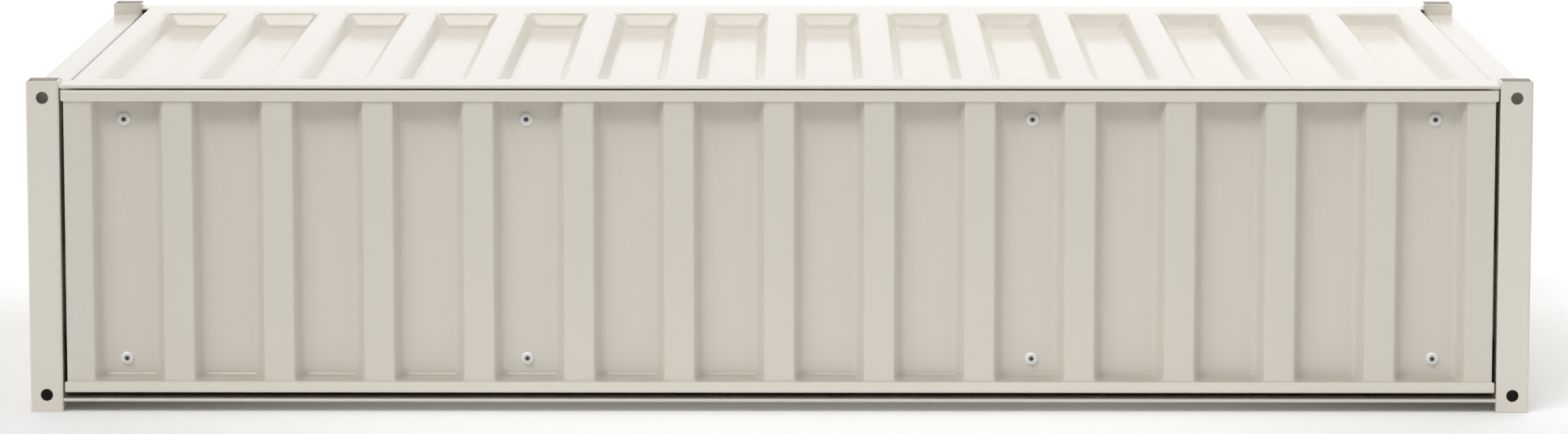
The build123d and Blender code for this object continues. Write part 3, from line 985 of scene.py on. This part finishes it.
# %% Floor with a painted pool of light
FLOOR_M = 60.0
FLOOR_DROP_M = 0.0002
PAPER_TONE = "#FAFAF9"
PAPER_ROUGHNESS = 0.9
PAPER_SHEEN = 0.1
PAINTED_GLOW = 0.19
GLOW_FULL = 0.35
GLOW_UNDER = 0.46
GLOW_REACH_M = (0.78, 1.3)
FOOT_FROM_M, FOOT_TO_M = -0.01, 0.03
WHITE = (1, 1, 1, 1)
SMOOTH_STEP = {"interpolation_type": "SMOOTHSTEP"}

floor_bm = bmesh.new()
bmesh.ops.create_grid(floor_bm, x_segments=1, y_segments=1, size=FLOOR_M / 2)
floor_mesh = bpy.data.meshes.new("studio_floor")
floor_bm.to_mesh(floor_mesh)
floor_bm.free()
studio_floor = bpy.data.objects.new("studio_floor", floor_mesh)
bpy.context.scene.collection.objects.link(studio_floor)
studio_floor.location.z = -FLOOR_DROP_M

# Matt paper gives an even white with no mirror image of the piece.
paper, tree, shader, coords = new_material("matt white paper with painted light pool")
shader.inputs["Base Color"].default_value = linear(PAPER_TONE)
shader.inputs["Roughness"].default_value = PAPER_ROUGHNESS
shader.inputs["Specular IOR Level"].default_value = PAPER_SHEEN
# Painted light: the paper glows round the foot of the piece and less under it.
shader.inputs["Emission Color"].default_value = WHITE
shares = (1 / GLOW_REACH_M[0], 1 / GLOW_REACH_M[1], 0.0)
near = add(tree, "ShaderNodeMapping", Vector=coords, Scale=shares).outputs[0]
reach = add(tree, "ShaderNodeVectorMath", {"operation": "LENGTH"}, _0=near).outputs["Value"]
pool = add(tree, "ShaderNodeMapRange", SMOOTH_STEP, Value=reach,
           From_Min=GLOW_FULL, From_Max=1.0, To_Min=PAINTED_GLOW, To_Max=0.0).outputs[0]
split = add(tree, "ShaderNodeSeparateXYZ", Vector=coords)
past_end = past(tree, split, "X", cad_box[1].x)
past_front = past(tree, split, "Y", cad_box[1].y)
outside = add(tree, "ShaderNodeMath", {"operation": "MAXIMUM"}, _0=past_end, _1=past_front).outputs[0]
clear = add(tree, "ShaderNodeMapRange", SMOOTH_STEP, Value=outside,
            From_Min=FOOT_FROM_M, From_Max=FOOT_TO_M, To_Min=GLOW_UNDER).outputs[0]
glow = add(tree, "ShaderNodeMath", {"operation": "MULTIPLY"}, _0=pool, _1=clear).outputs[0]
tree.links.new(glow, shader.inputs["Emission Strength"])
floor_mesh.materials.append(paper)
print("painted light on the floor", PAINTED_GLOW, "round the foot and", round(PAINTED_GLOW * GLOW_UNDER, 3), "under it")


# %% [markdown]
# A satin coat shows what stands round it. The surround is brightest low at the back,
# where the roof mirrors it at a flat angle, and dim in front, so that the ribs keep
# their shade. It is mixed from four levels, low and high, front and back.

# %% Surround
SURROUND = {"front low": 0.18, "front high": 0.34, "back low": 1.00, "back high": 0.20}
BACK_BLEND = 0.25
HIGH_FROM, HIGH_TO = 0.25, 0.60

world = bpy.data.worlds.new("white surround")
bpy.context.scene.world = world
world.use_nodes = True
tree = world.node_tree
toward = add(tree, "ShaderNodeTexCoord").outputs["Generated"]
around = add(tree, "ShaderNodeSeparateXYZ", Vector=toward)
behind = add(tree, "ShaderNodeMapRange", SMOOTH_STEP, Value=around.outputs["Y"],
             From_Min=-BACK_BLEND, From_Max=BACK_BLEND).outputs[0]
aloft = add(tree, "ShaderNodeMapRange", SMOOTH_STEP, Value=around.outputs["Z"],
            From_Min=HIGH_FROM, From_Max=HIGH_TO).outputs[0]
halves = []
for side in ("front", "back"):
    low_level, high_level = SURROUND[side + " low"], SURROUND[side + " high"]
    halves.append(add(tree, "ShaderNodeMix", Factor=aloft, _2=low_level, _3=high_level).outputs[0])
level = add(tree, "ShaderNodeMix", Factor=behind, _2=halves[0], _3=halves[1]).outputs[0]
tree.links.new(level, tree.nodes["Background"].inputs["Strength"])
tree.nodes["Background"].inputs["Color"].default_value = WHITE
print("surround:", SURROUND)


# %% [markdown]
# A wide softbox hangs high and far off at the front left, with a grid that keeps its
# light off the far floor. A smaller one hangs over the roof, a little to the right, and
# a wash at the back turns the background white.

# %% Lights
def soft_light(name, size, watts, place, aim, spread_deg=180):
    """A rectangular softbox; a small spread stands for a grid on its front."""
    lamp = bpy.data.lights.new(name, "AREA")
    lamp.shape = "RECTANGLE"
    lamp.size, lamp.size_y = size
    lamp.energy = watts
    lamp.spread = math.radians(spread_deg)
    holder = bpy.data.objects.new(name, lamp)
    holder.location = place
    holder.rotation_euler = (Vector(aim) - Vector(place)).to_track_quat("-Z", "Y").to_euler()
    bpy.context.scene.collection.objects.link(holder)
    print(name, watts, "W at", place)


soft_light("front_softbox", size=(6.0, 2.2), watts=46.0,
           place=(-2.2, -4.1, 5.9), aim=(0.2, -0.3, 0.1), spread_deg=70)
soft_light("overhead_softbox", size=(2.2, 1.4), watts=13.0,
           place=(0.9, 0.15, 2.0), aim=(0.05, 0.15, 0.1))
soft_light("background_wash", size=(8.0, 2.5), watts=120.0,
           place=(0, 3.6, 3.2), aim=(0, 3.2, 0), spread_deg=130)
bpy.context.scene.view_settings.view_transform = "Standard"


# %% [markdown]
# The camera stands where the photograph was taken: five metres off, half a metre above
# the roof, with a long lens that looks down a little. Its place came from matching the
# edges of the front and the back posts in the photograph.

# %% Camera
SENSOR_MM = 36.0
LENS_MM = 138.93
EYE_M = (0.0248, -5.1545, 0.8185)
DOWN_DEG = 7.772
TURN_DEG = 0.2487

lens = bpy.data.cameras.new("camera")
lens.sensor_width = SENSOR_MM
lens.lens = LENS_MM
camera = bpy.data.objects.new("camera", lens)
camera.location = EYE_M
camera.rotation_euler = (math.radians(90 - DOWN_DEG), 0.0, math.radians(TURN_DEG))
bpy.context.scene.collection.objects.link(camera)
bpy.context.scene.camera = camera
print("camera", [round(v, 3) for v in camera.location])


# %% [markdown]
# Last, the CAD model's box is printed.

# %% Sizes and finish
print("CAD", [tuple(round(v, 4) for v in c) for c in cad_box])
